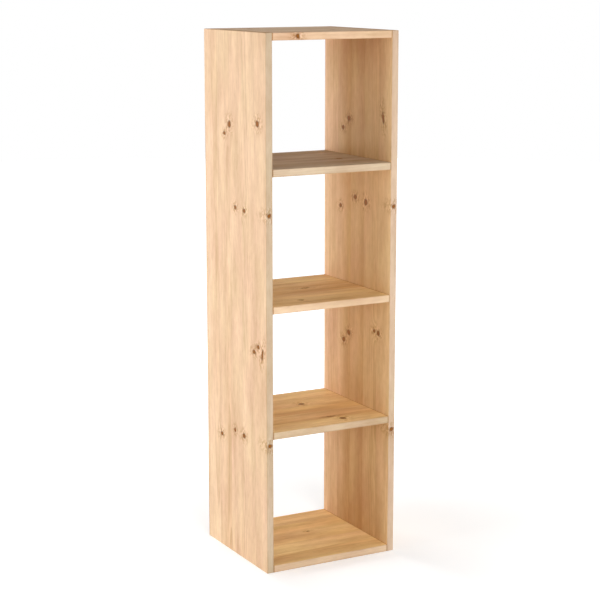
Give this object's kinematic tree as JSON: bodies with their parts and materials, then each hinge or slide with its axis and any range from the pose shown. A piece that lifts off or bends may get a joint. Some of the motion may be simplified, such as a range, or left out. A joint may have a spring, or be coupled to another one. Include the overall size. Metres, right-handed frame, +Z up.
{
  "type": "cube shelving unit",
  "caption": "Tall narrow open shelving column of solid pine boards set between full-height sides, with a row of stacked cube bays open front and back, held by concealed cam bolts and dowels.",
  "frame": {"origin": "on the floor under the middle of the unit", "axes": "+Z up, -Y towards the front, +X to the right as seen from the front"},
  "size_m": [0.362, 0.33, 1.313],
  "materials": {
    "pine": "clear satin, knotty",
    "beech": "bare, turned",
    "zinc_plated_steel": "bright zinc plating",
    "die_cast_zinc": "bare die-cast zinc, dull"
  },
  "bodies": {
    "carcass": {"left_side_panel": "pine", "right_side_panel": "pine", "top_panel": "pine", "cam_bolts_top_panel": "zinc_plated_steel", "dowels_top_panel": "beech", "upper_shelf": "pine", "cam_bolts_upper_shelf": "zinc_plated_steel", "dowels_upper_shelf": "beech", "middle_shelf": "pine", "cam_bolts_middle_shelf": "zinc_plated_steel", "dowels_middle_shelf": "beech", "lower_shelf": "pine", "cam_bolts_lower_shelf": "zinc_plated_steel", "dowels_lower_shelf": "beech", "bottom_panel": "pine", "cam_bolts_bottom_panel": "zinc_plated_steel", "dowels_bottom_panel": "beech"},
    "cam_top_panel_left_front": {"cam_top_panel_left_front": "die_cast_zinc"},
    "cam_top_panel_left_back": {"cam_top_panel_left_back": "die_cast_zinc"},
    "cam_top_panel_right_front": {"cam_top_panel_right_front": "die_cast_zinc"},
    "cam_top_panel_right_back": {"cam_top_panel_right_back": "die_cast_zinc"},
    "cam_upper_shelf_left_front": {"cam_upper_shelf_left_front": "die_cast_zinc"},
    "cam_upper_shelf_left_back": {"cam_upper_shelf_left_back": "die_cast_zinc"},
    "cam_upper_shelf_right_front": {"cam_upper_shelf_right_front": "die_cast_zinc"},
    "cam_upper_shelf_right_back": {"cam_upper_shelf_right_back": "die_cast_zinc"},
    "cam_middle_shelf_left_front": {"cam_middle_shelf_left_front": "die_cast_zinc"},
    "cam_middle_shelf_left_back": {"cam_middle_shelf_left_back": "die_cast_zinc"},
    "cam_middle_shelf_right_front": {"cam_middle_shelf_right_front": "die_cast_zinc"},
    "cam_middle_shelf_right_back": {"cam_middle_shelf_right_back": "die_cast_zinc"},
    "cam_lower_shelf_left_front": {"cam_lower_shelf_left_front": "die_cast_zinc"},
    "cam_lower_shelf_left_back": {"cam_lower_shelf_left_back": "die_cast_zinc"},
    "cam_lower_shelf_right_front": {"cam_lower_shelf_right_front": "die_cast_zinc"},
    "cam_lower_shelf_right_back": {"cam_lower_shelf_right_back": "die_cast_zinc"},
    "cam_bottom_panel_left_front": {"cam_bottom_panel_left_front": "die_cast_zinc"},
    "cam_bottom_panel_left_back": {"cam_bottom_panel_left_back": "die_cast_zinc"},
    "cam_bottom_panel_right_front": {"cam_bottom_panel_right_front": "die_cast_zinc"},
    "cam_bottom_panel_right_back": {"cam_bottom_panel_right_back": "die_cast_zinc"}
  },
  "joints": [
    {"name": "turn_cam_top_panel_left_front", "type": "hinge", "parent": "carcass", "child": "cam_top_panel_left_front", "pos_m": [-0.129, -0.115, 1.304], "axis": [0, 0, -1], "range_deg": [0, 180]},
    {"name": "turn_cam_top_panel_left_back", "type": "hinge", "parent": "carcass", "child": "cam_top_panel_left_back", "pos_m": [-0.129, 0.115, 1.304], "axis": [0, 0, -1], "range_deg": [0, 180]},
    {"name": "turn_cam_top_panel_right_front", "type": "hinge", "parent": "carcass", "child": "cam_top_panel_right_front", "pos_m": [0.129, -0.115, 1.304], "axis": [0, 0, -1], "range_deg": [0, 180]},
    {"name": "turn_cam_top_panel_right_back", "type": "hinge", "parent": "carcass", "child": "cam_top_panel_right_back", "pos_m": [0.129, 0.115, 1.304], "axis": [0, 0, -1], "range_deg": [0, 180]},
    {"name": "turn_cam_upper_shelf_left_front", "type": "hinge", "parent": "carcass", "child": "cam_upper_shelf_left_front", "pos_m": [-0.129, -0.115, 0.986], "axis": [0, 0, -1], "range_deg": [0, 180]},
    {"name": "turn_cam_upper_shelf_left_back", "type": "hinge", "parent": "carcass", "child": "cam_upper_shelf_left_back", "pos_m": [-0.129, 0.115, 0.986], "axis": [0, 0, -1], "range_deg": [0, 180]},
    {"name": "turn_cam_upper_shelf_right_front", "type": "hinge", "parent": "carcass", "child": "cam_upper_shelf_right_front", "pos_m": [0.129, -0.115, 0.986], "axis": [0, 0, -1], "range_deg": [0, 180]},
    {"name": "turn_cam_upper_shelf_right_back", "type": "hinge", "parent": "carcass", "child": "cam_upper_shelf_right_back", "pos_m": [0.129, 0.115, 0.986], "axis": [0, 0, -1], "range_deg": [0, 180]},
    {"name": "turn_cam_middle_shelf_left_front", "type": "hinge", "parent": "carcass", "child": "cam_middle_shelf_left_front", "pos_m": [-0.129, -0.115, 0.657], "axis": [0, 0, -1], "range_deg": [0, 180]},
    {"name": "turn_cam_middle_shelf_left_back", "type": "hinge", "parent": "carcass", "child": "cam_middle_shelf_left_back", "pos_m": [-0.129, 0.115, 0.657], "axis": [0, 0, -1], "range_deg": [0, 180]},
    {"name": "turn_cam_middle_shelf_right_front", "type": "hinge", "parent": "carcass", "child": "cam_middle_shelf_right_front", "pos_m": [0.129, -0.115, 0.657], "axis": [0, 0, -1], "range_deg": [0, 180]},
    {"name": "turn_cam_middle_shelf_right_back", "type": "hinge", "parent": "carcass", "child": "cam_middle_shelf_right_back", "pos_m": [0.129, 0.115, 0.657], "axis": [0, 0, -1], "range_deg": [0, 180]},
    {"name": "turn_cam_lower_shelf_left_front", "type": "hinge", "parent": "carcass", "child": "cam_lower_shelf_left_front", "pos_m": [-0.129, -0.115, 0.347], "axis": [0, 0, -1], "range_deg": [0, 180]},
    {"name": "turn_cam_lower_shelf_left_back", "type": "hinge", "parent": "carcass", "child": "cam_lower_shelf_left_back", "pos_m": [-0.129, 0.115, 0.347], "axis": [0, 0, -1], "range_deg": [0, 180]},
    {"name": "turn_cam_lower_shelf_right_front", "type": "hinge", "parent": "carcass", "child": "cam_lower_shelf_right_front", "pos_m": [0.129, -0.115, 0.347], "axis": [0, 0, -1], "range_deg": [0, 180]},
    {"name": "turn_cam_lower_shelf_right_back", "type": "hinge", "parent": "carcass", "child": "cam_lower_shelf_right_back", "pos_m": [0.129, 0.115, 0.347], "axis": [0, 0, -1], "range_deg": [0, 180]},
    {"name": "turn_cam_bottom_panel_left_front", "type": "hinge", "parent": "carcass", "child": "cam_bottom_panel_left_front", "pos_m": [-0.129, -0.115, 0.009], "axis": [0, 0, -1], "range_deg": [0, 180]},
    {"name": "turn_cam_bottom_panel_left_back", "type": "hinge", "parent": "carcass", "child": "cam_bottom_panel_left_back", "pos_m": [-0.129, 0.115, 0.009], "axis": [0, 0, -1], "range_deg": [0, 180]},
    {"name": "turn_cam_bottom_panel_right_front", "type": "hinge", "parent": "carcass", "child": "cam_bottom_panel_right_front", "pos_m": [0.129, -0.115, 0.009], "axis": [0, 0, -1], "range_deg": [0, 180]},
    {"name": "turn_cam_bottom_panel_right_back", "type": "hinge", "parent": "carcass", "child": "cam_bottom_panel_right_back", "pos_m": [0.129, 0.115, 0.009], "axis": [0, 0, -1], "range_deg": [0, 180]}
  ]
}
